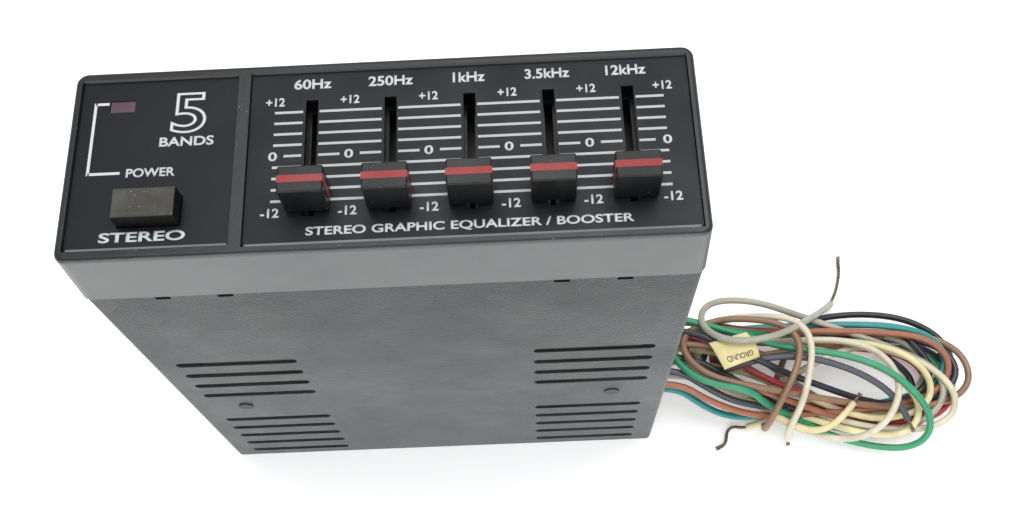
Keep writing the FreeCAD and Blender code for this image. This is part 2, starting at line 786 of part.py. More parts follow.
def grommet():
    """Rubber grommet in the right wall: a neck in the slot and a flange on each side."""
    body = new_body("Grommet")
    wall = "case_width / 2"
    outer = sketch_on(body, "grommet_outer", "YZ_Plane", out=wall)
    stadium(outer, 0, "grommet_along", "grommet_length + 4", "grommet_height + 4")
    pad(body, outer, "grommet_flange")
    neck = sketch_on(body, "grommet_neck", "YZ_Plane", out=wall)
    stadium(neck, 0, "grommet_along", "grommet_length", "grommet_height")
    pad(body, neck, "sheet_gauge", Reversed=True)
    inner = sketch_on(body, "grommet_inner", "YZ_Plane", out=f"{wall} - sheet_gauge")
    stadium(inner, 0, "grommet_along", "grommet_length + 3", "grommet_height + 3")
    pad(body, inner, 2.3, Reversed=True)
    face = value(f"{wall} + grommet_flange")
    rounded(body, 0.8, lambda edge: edge.BoundBox.XMin > face - 0.01)
    return node("harness_grommet", body)


# Each lead leaves the grommet in its own hole: the column, from bottom to top of the panel,
# and the row, 0 for the one nearer the rear edges. Past its straight exit its points are laid
# by hand, over the near end of the hank and down into it. The tag hangs on the ground lead.
LEADS = {
    "teal": (0, 0, [(93, -18, 13), (101, -21, 9.4), (111, -22, 7.5)]),
    "copper": (0, 1, [(94, -18, 19), (103.5, -21, 15.2), (112, -22.4, 12.4), (119, -22.4, 10.4)]),
    "dark_grey": (1, 1, [(93.5, -13.2, 19.8), (102, -17.6, 17.4), (110.5, -19.2, 14.6), (118, -19.4, 11.6)]),
    "white": (1, 0, [(94, -9.4, 15.4), (104, -13, 13), (113, -15.4, 10.4)]),
    "tan": (2, 0, [(94, -3.8, 16), (103.5, -5.4, 14.2), (112, -6.4, 11.4)]),
    "cream": (3, 0, [(94, 2.2, 15), (103.5, 1, 12), (112, -0.4, 10)]),
    "brown": (3, 1, [(93, 2, 20.6), (103, 1, 18.4), (113, 0.4, 16), (121, -2, 13)]),
    "black": (2, 1, [(93, -4.4, 20.4), (102, -9.4, 18.6), (111, -13.4, 15.4), (119, -16.4, 12.4)]),
    "red": (4, 0, [(93, 6, 16.6), (101.5, 0.4, 16), (110, -5.4, 15.6), (119, -10.8, 13.4)]),
    "ground": (
        4, 1, [(92, 5.6, 22.8), (101, 0.6, 23.6), (111, -4, 22.4), (120, -7.4, 18.4), (127, -9.4, 14.5)]
    ),
    "green": (5, 1, [(93, 10.6, 20.8), (103, 7.4, 19.8), (112.5, 4.6, 18.8), (121.2, 1.4, 18)]),
    "grey": (5, 0, [(94, 12.8, 15), (104, 9, 12), (113, 3, 9)]),
}
EXIT_RUN = 7

# The two ends that come out of the hank and lie on the floor.
GREY_END = [
    (127, 8, 15),
    (134, 12, 13.5),
    (141, 17.5, 7.5),
    (147, 23, 2.4),
    (151.5, 29, 1.5),
    (153, 36, 1.4),
    (153.4, 43, 1.4),
]
CREAM_END = [(122, -19, 10), (116.5, -22.5, 5.0), (110.5, -23.6, 1.8), (104, -24.8, 1.4), (98.5, -29.2, 1.4)]


def lead_exit(column, row):
    """The middle of a lead's hole, on the outer face of the grommet."""
    pitch = value("lead_row_pitch")
    return Vector(
        value("case_width / 2 + grommet_flange"),
        (column - 2.5) * pitch,
        value("grommet_along") + (row - 0.5) * pitch,
    )


def tube(name, points, diameter):
    """A round lead along straight runs joined by tangent arcs."""
    radii = []
    edges = []
    here = points[0]
    for before, corner, after in zip(points, points[1:], points[2:]):
        way_in = (corner - before).normalize()
        way_out = (after - corner).normalize()
        turn = way_in.getAngle(way_out)
        shorter = min((corner - before).Length, (after - corner).Length)
        setback = 0.45 * shorter
        radius = setback / math.tan(turn / 2)
        radii.append(radius)
        arc_start = corner - way_in * setback
        arc_end = corner + way_out * setback
        to_centre = (way_out - way_in).normalize()
        middle = corner + to_centre * (radius / math.cos(turn / 2) - radius)
        edges.append(Part.LineSegment(here, arc_start).toShape())
        edges.append(Part.Arc(arc_start, middle, arc_end).toShape())
        here = arc_end
    edges.append(Part.LineSegment(here, points[-1]).toShape())
    path = Part.Wire(edges)
    profile = Part.Wire(Part.Circle(points[0], points[1] - points[0], diameter / 2).toShape())
    solid = path.makePipeShell([profile], True, False)
    ideal = math.pi * diameter**2 / 4 * path.Length
    print(
        f"{name}: {path.Length:.1f} mm long, radii {', '.join(f'{r:.0f}' for r in radii)} mm, "
        f"volume {solid.Volume / ideal:.3f} of its section times its length"
    )
    feature = doc.addObject("Part::Feature", name)
    feature.Shape = solid
    return node(name, feature)


def leads():
    """The twelve leads from the grommet into the hank, and the two free ends."""
    diameter = value("lead_diameter")
    for colour, (column, row, laid) in LEADS.items():
        start = lead_exit(column, row)
        points = [start, start + Vector(EXIT_RUN, 0, 0)] + [Vector(*point) for point in laid]
        tube("lead_" + colour, points, diameter)
    tube("lead_grey_end", [Vector(*point) for point in GREY_END], diameter)
    tube("lead_cream_end", [Vector(*point) for point in CREAM_END], diameter)


def inner_leads():
    """The leads inside the case, from the terminal strip to the grommet."""
    start = 65.5
    length = f"case_width / 2 - sheet_gauge - 2.3 - {start}"
    rods = []
    for column in range(6):
        for row in range(2):
            up = f"{column - 2.5} * lead_row_pitch"
            along = f"grommet_along + {row - 0.5} * lead_row_pitch"
            rods.append(
                rod(f"Inner_{column}_{row}", start, up, along, "lead_diameter / 2", length, "X")
            )
    return node("inner_leads", grouped("Inner_leads", rods))


# Sections of the hank from its end beside the case to its looped end: share of the length,
# middle across the panel's height, share of the width, share of the height, height of the underside.
HANK_SECTIONS = (
    (0.00, 8.0, 0.60, 0.50, 0.4),
    (0.17, 3.0, 0.78, 0.70, 0.4),
    (0.40, -7.0, 0.66, 0.88, 3.0),
    (0.63, -6.5, 0.98, 0.96, 0.3),
    (0.86, -7.0, 0.83, 0.80, 0.3),
    (1.00, -4.0, 0.42, 0.55, 0.8),
)
TIE_SECTION = HANK_SECTIONS[2]
TIE_SLANT = -18.0


def hank_ellipse(name, section, growth=0, slant=0):
    """An upright ellipse across the hank."""
    share, middle, width, height, underside = section
    ellipse = doc.addObject("Part::Ellipse", name)
    bind(
        ellipse,
        MajorRadius=f"{width} * hank_width / 2 + {growth}",
        MinorRadius=f"{height} * hank_height / 2 + {growth}",
    )
    across = Rotation(Vector(1, 1, 1), 120)
    ellipse.Placement = Placement(Vector(), Rotation(Vector(0, 0, 1), slant).multiply(across))
    place(
        ellipse,
        f"hank_start + {share} * hank_length",
        middle,
        f"{underside} + {height} * hank_height / 2",
    )
    return ellipse


def harness_hank():
    """Outer shape of the tied leads: waisted at the tie, fanned out at the looped end."""
    loft = doc.addObject("Part::Loft", "Hank")
    loft.Sections = [hank_ellipse(f"Hank_{i}", section) for i, section in enumerate(HANK_SECTIONS)]
    loft.Solid = True
    loft.Ruled = True
    return node("harness_hank", loft)


def harness_tie():
    """The end of a lead wound tight round the waist of the hank, as one slanted band."""
    band = []
    for name, growth in (("Tie_outer", 2.7), ("Tie_inner", 0.3)):
        ring = doc.addObject("Part::Extrusion", name)
        ring.Base = hank_ellipse(name + "_ellipse", TIE_SECTION, growth, TIE_SLANT)
        ring.DirMode = "Normal"
        ring.Solid = True
        ring.LengthFwd = 3
        ring.LengthRev = 3
        band.append(ring)
    return node("harness_tie", minus("Tie", band[0], band[1:]))


def ground_tag():
    """Cloth tag folded flat over the ground lead."""
    tag = doc.addObject("Part::Box", "Tag")
    bind(tag, Length="tag_length", Width="tag_width", Height="tag_thickness")
    tag.Placement = Placement(Vector(98.2, -3.4, 25.0), Rotation(Vector(0, 0, 1), -8))
    return node("ground_tag", tag)


# ---------------------------------------------------------------- assembly

front_bezel()
power_fascia()
equalizer_fascia()
power_lamp()
power_switch_and_button()
control_board()
for number, band in enumerate(BANDS):
    slider_across = f"slider_first + {number} * slider_pitch"
    slider_rest = "slider_middle - slider_travel / 2"
    slider_knob(band, slider_across, slider_rest)
    slider_index(band, slider_across, slider_rest)
    slider_lever(band, slider_across, slider_rest)
    fader_case(band, slider_across)
bottom_cover()
top_cover()
rear_heat_sink()
cover_screws()
bracket_nuts()
amplifier_board()
board_fixings()
board_link()
amplifier_parts()
grommet()
inner_leads()
leads()
harness_hank()
harness_tie()
ground_tag()

doc.recompute()
for thing in doc.Objects:
    if "Invalid" in thing.State or "Error" in thing.State:
        raise RuntimeError(f"{thing.Label} failed: {thing.State}")
for thing in nodes:
    if thing.Shape.isNull() or not thing.Shape.isValid():
        raise RuntimeError(f"{thing.Label} has no valid shape")

os.makedirs("parts", exist_ok=True)
for thing in nodes:
    thing.Shape.exportStep(f"parts/{thing.Label}.step")
print(f"{len(nodes)} sub-parts")
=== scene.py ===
import math

import bmesh
import bpy
import numpy as np
from mathutils import Matrix, Vector


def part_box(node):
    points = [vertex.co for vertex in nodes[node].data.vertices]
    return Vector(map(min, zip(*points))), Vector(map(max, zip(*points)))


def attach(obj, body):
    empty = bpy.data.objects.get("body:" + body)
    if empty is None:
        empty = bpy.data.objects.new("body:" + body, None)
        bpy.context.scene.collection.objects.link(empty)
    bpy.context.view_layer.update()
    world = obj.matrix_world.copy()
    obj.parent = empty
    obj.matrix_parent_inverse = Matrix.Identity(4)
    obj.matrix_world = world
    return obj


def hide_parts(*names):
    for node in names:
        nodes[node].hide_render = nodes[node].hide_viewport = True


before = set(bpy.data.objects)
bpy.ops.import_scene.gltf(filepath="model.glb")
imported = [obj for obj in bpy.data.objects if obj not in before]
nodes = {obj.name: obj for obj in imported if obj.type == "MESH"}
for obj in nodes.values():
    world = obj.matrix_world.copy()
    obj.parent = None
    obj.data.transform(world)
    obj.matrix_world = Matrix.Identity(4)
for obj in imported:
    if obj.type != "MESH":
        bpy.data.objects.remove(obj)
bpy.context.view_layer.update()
scene = bpy.context.scene

MM = 1000  # millimetres in a metre
BANDS = ("60hz", "250hz", "1khz", "3k5hz", "12khz")


def each_band(part):
    """The names of a part that every slider has."""
    return tuple(f"{part}_{band}" for band in BANDS)


def added(name, data):
    """A new object in the scene."""
    made = bpy.data.objects.new(name, data)
    scene.collection.objects.link(made)
    return made


# --- Camera, light and floor ---------------------------------------------------------------

camera_data = bpy.data.cameras.new("camera")
camera_data.lens = 38.82
camera_data.sensor_width = 36.0
camera_data.shift_y = 0.0594
camera_place = (0.0319, -0.1338, 0.3850)
right = Vector((0.9989, -0.0322, -0.0337))
up = Vector((0.0425, 0.9255, 0.3763))
turned = Matrix((right, up, right.cross(up))).transposed().to_4x4()
camera = added("camera", camera_data)
camera.matrix_world = Matrix.Translation(camera_place) @ turned
scene.camera = camera

# The light is soft and comes mostly from above, and everything stands on a plain white floor.
scene.view_settings.view_transform = "Standard"
world = bpy.data.worlds.new("world")
world.use_nodes = True
sky = world.node_tree.nodes["Background"]
sky.inputs["Color"].default_value = (0.97, 0.985, 1.0, 1)
sky.inputs["Strength"].default_value = 0.7
scene.world = world


def area_light(name, place, aim, size, power):
    """A rectangular lamp that points at a place; its power is in watts."""
    data = bpy.data.lights.new(name, "AREA")
    data.shape = "RECTANGLE"
    data.size, data.size_y = size
    data.energy = power
    light = added(name, data)
    light.location = place
    light.rotation_euler = (Vector(aim) - Vector(place)).to_track_quat("-Z", "Y").to_euler()


area_light("light_above", (0.15, 0.25, 1.1), aim=(0.05, 0.0, 0.05), size=(1.0, 0.8), power=9.0)
area_light("light_front", (0.0, -1.04, 0.7), aim=(0.03, 0.0, 0.05), size=(1.2, 0.8), power=7.0)

FLOOR_SIZE = 8
bpy.ops.mesh.primitive_plane_add(size=FLOOR_SIZE, location=(0, 0, 0))
floor = bpy.context.object
floor.name = "floor"


# --- Materials -----------------------------------------------------------------------------


def material(name, roughness=0.5, **shader_values):
    """A material with the given shader values, its node tree and its Principled shader."""
    made = bpy.data.materials.new(name)
    made.use_nodes = True
    tree = made.node_tree
    shader = tree.nodes["Principled BSDF"]
    shader.inputs["Roughness"].default_value = roughness
    for key, number in shader_values.items():
        shader.inputs[key.replace("_", " ")].default_value = number
    return made, tree, shader


def noise(tree, scale, stretch=(1, 1, 1), **values):
    """A noise texture in the piece's own coordinates; scale is in features per metre."""
    place = tree.nodes.new("ShaderNodeTexCoord")
    mapping = tree.nodes.new("ShaderNodeMapping")
    mapping.inputs["Scale"].default_value = stretch
    node = tree.nodes.new("ShaderNodeTexNoise")
    node.inputs["Scale"].default_value = scale
    for key, number in values.items():
        node.inputs[key].default_value = number
    tree.links.new(place.outputs["Object"], mapping.inputs["Vector"])
    tree.links.new(mapping.outputs["Vector"], node.inputs["Vector"])
    return node


def ramp(tree, source, low, high, dark=(0, 0, 0), light=(1, 1, 1)):
    """Turns a texture's value between low and high into a colour."""
    node = tree.nodes.new("ShaderNodeValToRGB")
    node.color_ramp.elements[0].position = low
    node.color_ramp.elements[0].color = (*dark, 1)
    node.color_ramp.elements[1].position = high
    node.color_ramp.elements[1].color = (*light, 1)
    tree.links.new(source, node.inputs["Fac"])
    return node.outputs["Color"]


# The sockets of a Mix node that mixes colours.
MIX_SHARE, MIX_FIRST, MIX_SECOND, MIX_RESULT = 0, 6, 7, 2


def mixed(tree, share, first, second):
    """Mixes two colours by a share that is a socket; each colour may be a socket or plain."""
    node = tree.nodes.new("ShaderNodeMix")
    node.data_type = "RGBA"
    tree.links.new(share, node.inputs[MIX_SHARE])
    for socket, colour in ((MIX_FIRST, first), (MIX_SECOND, second)):
        if isinstance(colour, bpy.types.NodeSocket):
            tree.links.new(colour, node.inputs[socket])
        else:
            node.inputs[socket].default_value = (*colour, 1)
    return node.outputs[MIX_RESULT]


def bumped(tree, shader, *layers):
    """Adds bump layers, each a height socket and its depth in metres, to the shader."""
    last = None
    for height, depth in layers:
        node = tree.nodes.new("ShaderNodeBump")
        node.inputs["Distance"].default_value = depth
        tree.links.new(height, node.inputs["Height"])
        if last:
            tree.links.new(last, node.inputs["Normal"])
        last = node.outputs["Normal"]
    tree.links.new(last, shader.inputs["Normal"])


def along_axis(tree, output, axis, low, high):
    """Rises from 0 to 1 as a piece's own position or normal goes from low to high along an axis."""
    place = tree.nodes.new("ShaderNodeTexCoord")
    parts = tree.nodes.new("ShaderNodeSeparateXYZ")
    rise = tree.nodes.new("ShaderNodeMapRange")
    rise.inputs["From Min"].default_value = low
    rise.inputs["From Max"].default_value = high
    tree.links.new(place.outputs[output], parts.inputs["Vector"])
    tree.links.new(parts.outputs[axis], rise.inputs["Value"])
    return rise.outputs["Result"]


def srgb(red, green, blue):
    """A colour given as on screen, 0 to 255, in the renderer's linear values."""
    linear = []
    for level in (red, green, blue):
        share = level / 255
        linear.append(share / 12.92 if level < 11 else ((share + 0.055) / 1.055) ** 2.4)
    return tuple(linear)


# What all paints and plastics share. A scale is in features per metre.
DUST = srgb(168, 172, 172)
FILM_SCALE = 28
SPECK_SCALE = 1500
SPECK_EDGE = 0.05
SPECK_STRENGTH = 0.45
RUB_SCALE = 60
SMOOTHER, ROUGHER = -0.08, 0.12


def painted(name, base, roughness, grain, depth, dust=0.35, specks=0.72, other=None, **values):
    """Paint or plastic with a fine grain, a film of dust, light specks and rubbed patches.

    The grain is in features per metre and its depth in metres. The dust is the film's strength where
    it is thickest, and fewer specks show as that number goes up. The other colour, where given, comes
    with what it follows: an output, an axis and its range.
    """
    made, tree, shader = material(name, roughness, **values)
    cloud = noise(tree, FILM_SCALE, Detail=8, Roughness=0.65)
    film = ramp(tree, cloud.outputs["Fac"], 0.35, 0.75, light=(dust, dust, dust))
    colour = mixed(tree, film, base, DUST)
    if other:
        colour = mixed(tree, along_axis(tree, *other[1:]), colour, other[0])
    spots = noise(tree, SPECK_SCALE, Detail=2, Roughness=0.6)
    speck = ramp(tree, spots.outputs["Fac"], specks, specks + SPECK_EDGE)
    fleck = tree.nodes.new("ShaderNodeMath")
    fleck.operation = "MULTIPLY"
    fleck.inputs[1].default_value = SPECK_STRENGTH
    tree.links.new(speck, fleck.inputs[0])
    colour = mixed(tree, fleck.outputs["Value"], colour, DUST)
    tree.links.new(colour, shader.inputs["Base Color"])
    rub = noise(tree, RUB_SCALE, Detail=6)
    worn = tree.nodes.new("ShaderNodeMapRange")
    worn.inputs["From Min"].default_value = 0.3
    worn.inputs["From Max"].default_value = 0.7
    worn.inputs["To Min"].default_value = roughness + SMOOTHER
    worn.inputs["To Max"].default_value = roughness + ROUGHER
    tree.links.new(rub.outputs["Fac"], worn.inputs["Value"])
    tree.links.new(worn.outputs["Result"], shader.inputs["Roughness"])
    fine = noise(tree, grain, Detail=3)
    bumped(tree, shader, (fine.outputs["Fac"], depth), (cloud.outputs["Fac"], depth / 2))
    return made


TARNISH_SCALE = 300
SCRATCH_SCALE = 2500
SCRATCH_DEPTH = 0.00003


def metal(name, base, roughness, brushed=(1, 1, 1)):
    """Bare or plated metal with fine scratches and a little tarnish."""
    made, tree, shader = material(name, roughness, Metallic=1.0)
    tarnish = noise(tree, TARNISH_SCALE, Detail=6)
    dull = [0.55 * level for level in base]
    colour = ramp(tree, tarnish.outputs["Fac"], 0.4, 0.75, base, dull)
    tree.links.new(colour, shader.inputs["Base Color"])
    scratch = noise(tree, SCRATCH_SCALE, brushed, Detail=4)
    bumped(tree, shader, (scratch.outputs["Fac"], SCRATCH_DEPTH))
    return made


GRIME_SCALE = 90
RIPPLE_SCALE = 500
RIPPLE_DEPTH = 0.00008


def insulation(name, colour):
    """Old PVC insulation: slightly uneven colour, grime in patches, a soft waxy shine."""
    made, tree, shader = material(name, 0.38, Coat_Weight=0.15, Coat_Roughness=0.3)
    patch = noise(tree, GRIME_SCALE, Detail=7, Roughness=0.6)
    grime = [0.6 * level + 0.02 for level in colour]
    soiled = ramp(tree, patch.outputs["Fac"], 0.38, 0.78, colour, grime)
    tree.links.new(soiled, shader.inputs["Base Color"])
    ripple = noise(tree, RIPPLE_SCALE, Detail=3)
    bumped(tree, shader, (ripple.outputs["Fac"], RIPPLE_DEPTH))
    return made


FLOOR_LOW, FLOOR_HIGH = (0.93, 0.93, 0.93), (0.95, 0.95, 0.95)
floor_material, floor_tree, floor_shader = material("floor_white", 0.9, Emission_Strength=0.22)
floor_shader.inputs["Emission Color"].default_value = (1, 1, 1, 1)
floor_grain = noise(floor_tree, 40, Detail=3)
floor_colour = ramp(floor_tree, floor_grain.outputs["Fac"], 0.3, 0.7, FLOOR_LOW, FLOOR_HIGH)
floor_tree.links.new(floor_colour, floor_shader.inputs["Base Color"])
floor.data.materials.append(floor_material)

# Second colours, each with the output, the axis and the range that it follows.
# Painted shade: the case paint turns darker towards the front panel.
case_front_shade = (srgb(12, 21, 21), "Object", "Z", 0.06, 0.145)
# Painted reflection: the bezel's downward-facing faces are lighter, standing in for the bright floor
# that they reflect.
bezel_underside_reflection = (srgb(97, 100, 99), "Normal", "Y", -0.5, -0.95)
button_sides = (srgb(4, 4, 4), "Normal", "Z", 0.75, 0.35)

case_paint = painted(
    "case_paint", srgb(36, 45, 44), 0.42, grain=1900, depth=0.0003, dust=0.09, specks=0.69,
    other=case_front_shade, Sheen_Weight=0.18, Sheen_Roughness=0.4,
)
bezel_plastic = painted(
    "bezel_plastic", srgb(20, 23, 24), 0.34, grain=2600, depth=0.00004, dust=0.03,
    other=bezel_underside_reflection, Specular_IOR_Level=0.38,
)
fascia_plastic = painted(
    "fascia_plastic", srgb(8, 12, 19), 0.42, grain=3000, depth=0.00003, dust=0.006, specks=0.8,
    Specular_IOR_Level=0.24,
)
knob_plastic = painted(
    "knob_plastic", srgb(9, 10, 11), 0.36, grain=2500, depth=0.00004, dust=0.015,
    Specular_IOR_Level=0.3,
)
index_plastic = painted(
    "index_plastic", srgb(132, 20, 19), 0.45, grain=2500, depth=0.00003, dust=0.08,
    Specular_IOR_Level=0.35,
)
button_plastic = painted(
    "button_plastic", srgb(47, 45, 38), 0.5, grain=2600, depth=0.00008, dust=0.2, specks=0.69,
    other=button_sides, Specular_IOR_Level=0.3,
)
lamp_plastic = painted("lamp_plastic", srgb(73, 44, 57), 0.3, grain=2000, depth=0.00002, dust=0.2)
switch_plastic = painted("switch_plastic", srgb(20, 20, 20), 0.45, grain=2500, depth=0.00003, dust=0.03)
laminate = painted("laminate", srgb(140, 105, 60), 0.45, grain=1200, depth=0.00003, dust=0.2)
component = painted("component", srgb(35, 40, 60), 0.4, grain=2500, depth=0.00002, dust=0.2)
grommet_rubber = painted("grommet_rubber", srgb(18, 18, 18), 0.6, grain=1800, depth=0.00004, dust=0.05)
sink_metal = metal("sink_metal", srgb(168, 170, 172), 0.45, brushed=(1, 1, 0.05))
plated = metal("plated", srgb(128, 126, 120), 0.42)
blackened = metal("blackened", srgb(84, 87, 88), 0.5)
choke_core = painted("choke_core", srgb(110, 70, 45), 0.5, grain=900, depth=0.00005)

FINISHES = {
    case_paint: ("bottom_cover", "top_cover"),
    bezel_plastic: ("front_bezel",),
    fascia_plastic: ("power_fascia", "equalizer_fascia"),
    button_plastic: ("power_button",),
    lamp_plastic: ("power_lamp",),
    switch_plastic: ("power_switch", "terminal_strip", *each_band("fader"), *each_band("lever")),
    laminate: ("control_board", "amplifier_board"),
    component: ("capacitors", "power_amplifiers"),
    grommet_rubber: ("harness_grommet", "inner_leads"),
    sink_metal: ("rear_heat_sink",),
    plated: ("bracket_nuts", "board_spacers", "board_link", "lamp_legs"),
    blackened: ("board_screws", "cover_screws"),
    choke_core: ("choke",),
    knob_plastic: each_band("knob"),
    index_plastic: each_band("index"),
}
for finish, names in FINISHES.items():
    for name in names:
        nodes[name].data.materials.clear()
        nodes[name].data.materials.append(finish)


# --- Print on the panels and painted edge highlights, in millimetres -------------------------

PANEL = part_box("equalizer_fascia")[1].z
INK = 0.00004  # the thickness of the print, in metres
ink = painted("ink", srgb(188, 193, 193), 0.6, grain=3000, depth=0.00001, dust=0.5, specks=0.8)
line_ink = painted("line_ink", srgb(164, 170, 170), 0.6, grain=3000, depth=0.00001, dust=0.5, specks=0.8)
# Painted highlight: the colour of the light lines that stand in for light caught on the rim's lower
# edges.
edge_highlight_ink = painted("edge_highlight_ink", srgb(96, 100, 100), 0.5, grain=3000, depth=0.00001, dust=0.3, specks=0.8)


def on_front(name, mesh, finish):
    """A printed piece on the front, in one finish."""
    mesh.materials.clear()
    mesh.materials.append(finish)
    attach(added(name, mesh), "case")


def raised(shape, faces):
    """Gives flat faces of a bmesh the thickness of the print."""
    grown = bmesh.ops.extrude_face_region(shape, geom=faces)["geom"]
    top = [part for part in grown if isinstance(part, bmesh.types.BMVert)]
    bmesh.ops.translate(shape, vec=(0, 0, INK), verts=top)


def printed(name, strips, finish=ink):
    """Thin printed strips, each from x, y to x, y with its width."""
    shape = bmesh.new()
    for x0, y0, x1, y1, width in strips:
        along = Vector((x1 - x0, y1 - y0, 0)).normalized()
        side = Vector((-along.y, along.x, 0)) * width / 2
        start, end = Vector((x0, y0, 0)), Vector((x1, y1, 0))
        corners = (start - side, end - side, end + side, start + side)
        face = shape.faces.new([shape.verts.new((c.x / MM, c.y / MM, PANEL)) for c in corners])
        raised(shape, [face])
    bmesh.ops.recalc_face_normals(shape, faces=shape.faces)
    mesh = bpy.data.meshes.new(name)
    shape.to_mesh(mesh)
    shape.free()
    on_front(name, mesh, finish)


def text_mesh(name, words, weight, outline=0.0):
    """Words as a flat mesh or, with an outline, as round wire, and its least and greatest corners."""
    font = bpy.data.curves.new(name, "FONT")
    font.body = words
    font.offset = weight
    if outline:
        font.fill_mode = "NONE"
        font.bevel_depth = outline
        font.bevel_resolution = 1
    draft = added(name + "_draft", font)
    bpy.context.view_layer.update()
    mesh = bpy.data.meshes.new_from_object(draft.evaluated_get(bpy.context.evaluated_depsgraph_get()))
    bpy.data.objects.remove(draft)
    mesh.name = name
    places = np.array([vert.co for vert in mesh.vertices])
    return mesh, places.min(0), places.max(0)


def lettered(name, words, centre, height, width, weight, outline=0.0):
    """Words printed on the front, fitted to a height and a width."""
    mesh, low, high = text_mesh(name, words, weight, outline)
    tall = height / MM / (high[1] - low[1])
    wide = width / MM / (high[0] - low[0])
    middle = (low + high) / 2
    shape = bmesh.new()
    shape.from_mesh(mesh)
    for vert in shape.verts:
        lift = 0.5 + (vert.co.z - middle[2]) / (high[2] - low[2]) if outline else 0
        vert.co.x = centre[0] / MM + (vert.co.x - middle[0]) * wide
        vert.co.y = centre[1] / MM + (vert.co.y - middle[1]) * tall
        vert.co.z = PANEL + INK * lift
    if not outline:
        raised(shape, list(shape.faces))
    shape.to_mesh(mesh)
    shape.free()
    on_front(name, mesh, ink)


SLOTS = [-17.1 + 18.87 * band for band in range(5)]
SCALE_LEFT, SCALE_RIGHT = -26.0, 66.9
SLOT_LEFT, SLOT_RIGHT = 2.1, 1.85  # how far short of a slot's middle the lines stop on each side
SCALE_ROWS, SCALE_TOP, SCALE_PITCH, SCALE_WIDTH = 9, 12.2, 3, 0.66
ZERO_ROW = 4
ZERO_LEFT, ZERO_RIGHT = -23.4, 64.0  # where the outer lines of the zero row stop
ZERO_ROOM = 2.4  # half the room that is left round a zero
cuts = [x for slot in SLOTS for x in (slot - SLOT_LEFT, slot + SLOT_RIGHT)]
stops = [SCALE_LEFT] + cuts + [SCALE_RIGHT]
scale_lines = []
for row in range(SCALE_ROWS):
    for start, end in zip(stops[::2], stops[1::2]):
        spans = [(start, end)]
        if row == ZERO_ROW and start == SCALE_LEFT:
            spans = [(ZERO_LEFT, end)]
        elif row == ZERO_ROW and end == SCALE_RIGHT:
            spans = [(start, ZERO_RIGHT)]
        elif row == ZERO_ROW:
            middle = (start + end) / 2
            spans = [(start, middle - ZERO_ROOM), (middle + ZERO_ROOM, end)]
        y = SCALE_TOP - SCALE_PITCH * row
        scale_lines += [(x0, y, x1, y, SCALE_WIDTH) for x0, x1 in spans]
printed("scale_lines", scale_lines, line_ink)
POWER_BRACKET = [
    (-66.4, 16.9, -69.65, 16.9, 0.7),
    (-69.65, 17.25, -69.65, -2.75, 0.7),
    (-69.65, -2.4, -62.0, -2.4, 0.7),
]
printed("power_bracket", POWER_BRACKET)
# Painted highlights: light lines along the fascias' lower edges, standing in for light caught on the
# rim's edge.
FIELD_EDGE_HIGHLIGHTS = [(-72.6, -22.2, -35.6, -22.2, 0.5), (-31.4, -22.78, 72.4, -22.78, 0.55)]
printed("field_edge_highlights", FIELD_EDGE_HIGHLIGHTS, edge_highlight_ink)

# The weight thickens the strokes, in text sizes. Each call: place of the middle, height, width.
WEIGHT = 0.026
NUMBERS = [-26.0] + [(a + b) / 2 - 0.35 for a, b in zip(SLOTS, SLOTS[1:])] + [66.8]
LABELS = (("60Hz", 9.1), ("250Hz", 10.8), ("1kHz", 7.8), ("3.5kHz", 10.8), ("12kHz", 9.7))
for number, x in enumerate(NUMBERS):
    lettered(f"scale_top_{number}", "+12", (x, 15.2), 2.4, 4.6, WEIGHT)
    lettered(f"scale_zero_{number}", "0", (x, 0.2), 2.4, 2.1, WEIGHT)
    lettered(f"scale_bottom_{number}", "-12", (x, -14.8), 2.4, 4.4, WEIGHT)
for x, (words, width) in zip(SLOTS, LABELS):
    lettered("label_" + words.replace(".", "_"), words, (x, 20.0), 2.85, width, WEIGHT)
lettered("label_power", "POWER", (-54.7, -2.5), 2.4, 11.6, WEIGHT)
lettered("label_bands", "BANDS", (-46.8, 5.6), 2.6, 13.0, WEIGHT)
lettered("band_count", "5", (-46.8, 13.5), 11.4, 8.6, 0.01, outline=0.022)
lettered("label_mode", "STEREO", (-55.2, -19.3), 2.6, 20.0, WEIGHT)
lettered("title", "STEREO GRAPHIC EQUALIZER / BOOSTER", (20.0, -20.0), 2.6, 75.0, WEIGHT)


# --- Harness routes, in millimetres ---------------------------------------------------------

LEAD_DIAMETER = 2.4
GROMMET_FACE = 77.8
GROMMET_COLUMNS = 6
EXIT_HEIGHT = 19.0
HOLE_PITCH = 5.0
EXIT_RUN = 7.0  # how far a lead goes straight out of its hole
WAIST = (125.0, -7.0)
WAIST_PINCH, WAIST_REACH = 0.35, 15  # how much narrower the hank is at its waist, and how far from it

